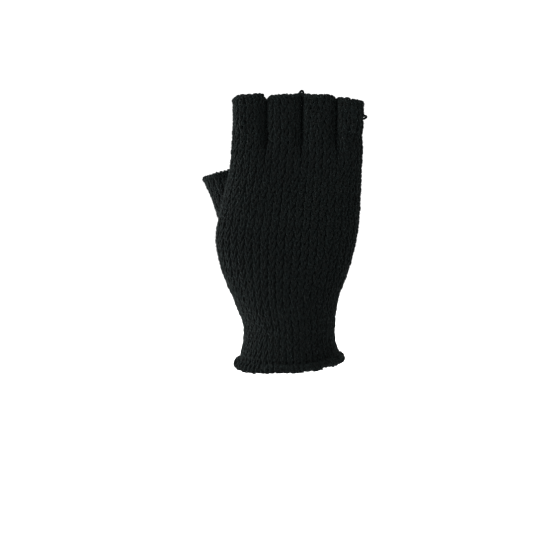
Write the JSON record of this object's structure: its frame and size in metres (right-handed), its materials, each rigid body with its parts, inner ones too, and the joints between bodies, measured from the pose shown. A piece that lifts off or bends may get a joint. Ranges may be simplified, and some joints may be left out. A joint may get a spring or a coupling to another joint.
{
  "type": "knitted fingerless glove",
  "caption": "Right-hand knitted glove with open half-length fingers and thumb, a snug elastic cuff and curled cast-off edges.",
  "frame": {"origin": "centre of the wrist opening, where the wearer's hand goes in", "axes": "+Z from the wrist to the fingertips, -Y out of the back of the hand, +Y out of the palm, -X towards the thumb, +X towards the little finger"},
  "size_m": [0.102, 0.0644, 0.1712],
  "materials": {
    "knit": "black plain knit, slightly fuzzy, matte with a faint cool sheen",
    "hem": "black cast-off and linking stitches, curled and fuzzy",
    "elastic": "black covered elastic thread, matte"
  },
  "bodies": {
    "cuff": {"cuff_hem": "hem", "cuff": "knit", "cuff_elastic_1": "elastic", "cuff_elastic_2": "elastic", "cuff_elastic_3": "elastic", "cuff_elastic_4": "elastic"},
    "hand": {"hand_body": "knit", "thumb_gusset": "knit", "index_middle_crotch": "hem", "middle_ring_crotch": "hem", "ring_little_crotch": "hem"},
    "thumb": {"thumb_sleeve": "knit", "thumb_hem": "hem"},
    "index": {"index_sleeve": "knit", "index_hem": "hem"},
    "middle": {"middle_sleeve": "knit", "middle_hem": "hem"},
    "ring": {"ring_sleeve": "knit", "ring_hem": "hem"},
    "little": {"little_sleeve": "knit", "little_hem": "hem"}
  },
  "joints": [
    {"name": "wrist_flex", "type": "hinge", "parent": "cuff", "child": "hand", "pos_m": [0, 0.027, 0.03015], "axis": [-1, 0, 0], "range_deg": [0, 25], "stiffness_Nm_per_rad": 0.05},
    {"name": "thumb_flex", "type": "hinge", "parent": "hand", "child": "thumb", "pos_m": [-0.03821, 0.02846, 0.10543], "axis": [-0.9657, -0.0322, -0.2575], "range_deg": [0, 30], "stiffness_Nm_per_rad": 0.003},
    {"name": "index_flex", "type": "hinge", "parent": "hand", "child": "index", "pos_m": [-0.0249, 0.0125, 0.14965], "axis": [-1, 0, 0], "range_deg": [0, 40], "stiffness_Nm_per_rad": 0.003},
    {"name": "middle_flex", "type": "hinge", "parent": "hand", "child": "middle", "pos_m": [-0.003, 0.0125, 0.14965], "axis": [-1, 0, 0], "range_deg": [0, 40], "stiffness_Nm_per_rad": 0.003},
    {"name": "ring_flex", "type": "hinge", "parent": "hand", "child": "ring", "pos_m": [0.0189, 0.0125, 0.14965], "axis": [-1, 0, 0], "range_deg": [0, 40], "stiffness_Nm_per_rad": 0.003},
    {"name": "little_flex", "type": "hinge", "parent": "hand", "child": "little", "pos_m": [0.0384, 0.0125, 0.14965], "axis": [-1, 0, 0], "range_deg": [0, 40], "stiffness_Nm_per_rad": 0.003}
  ]
}
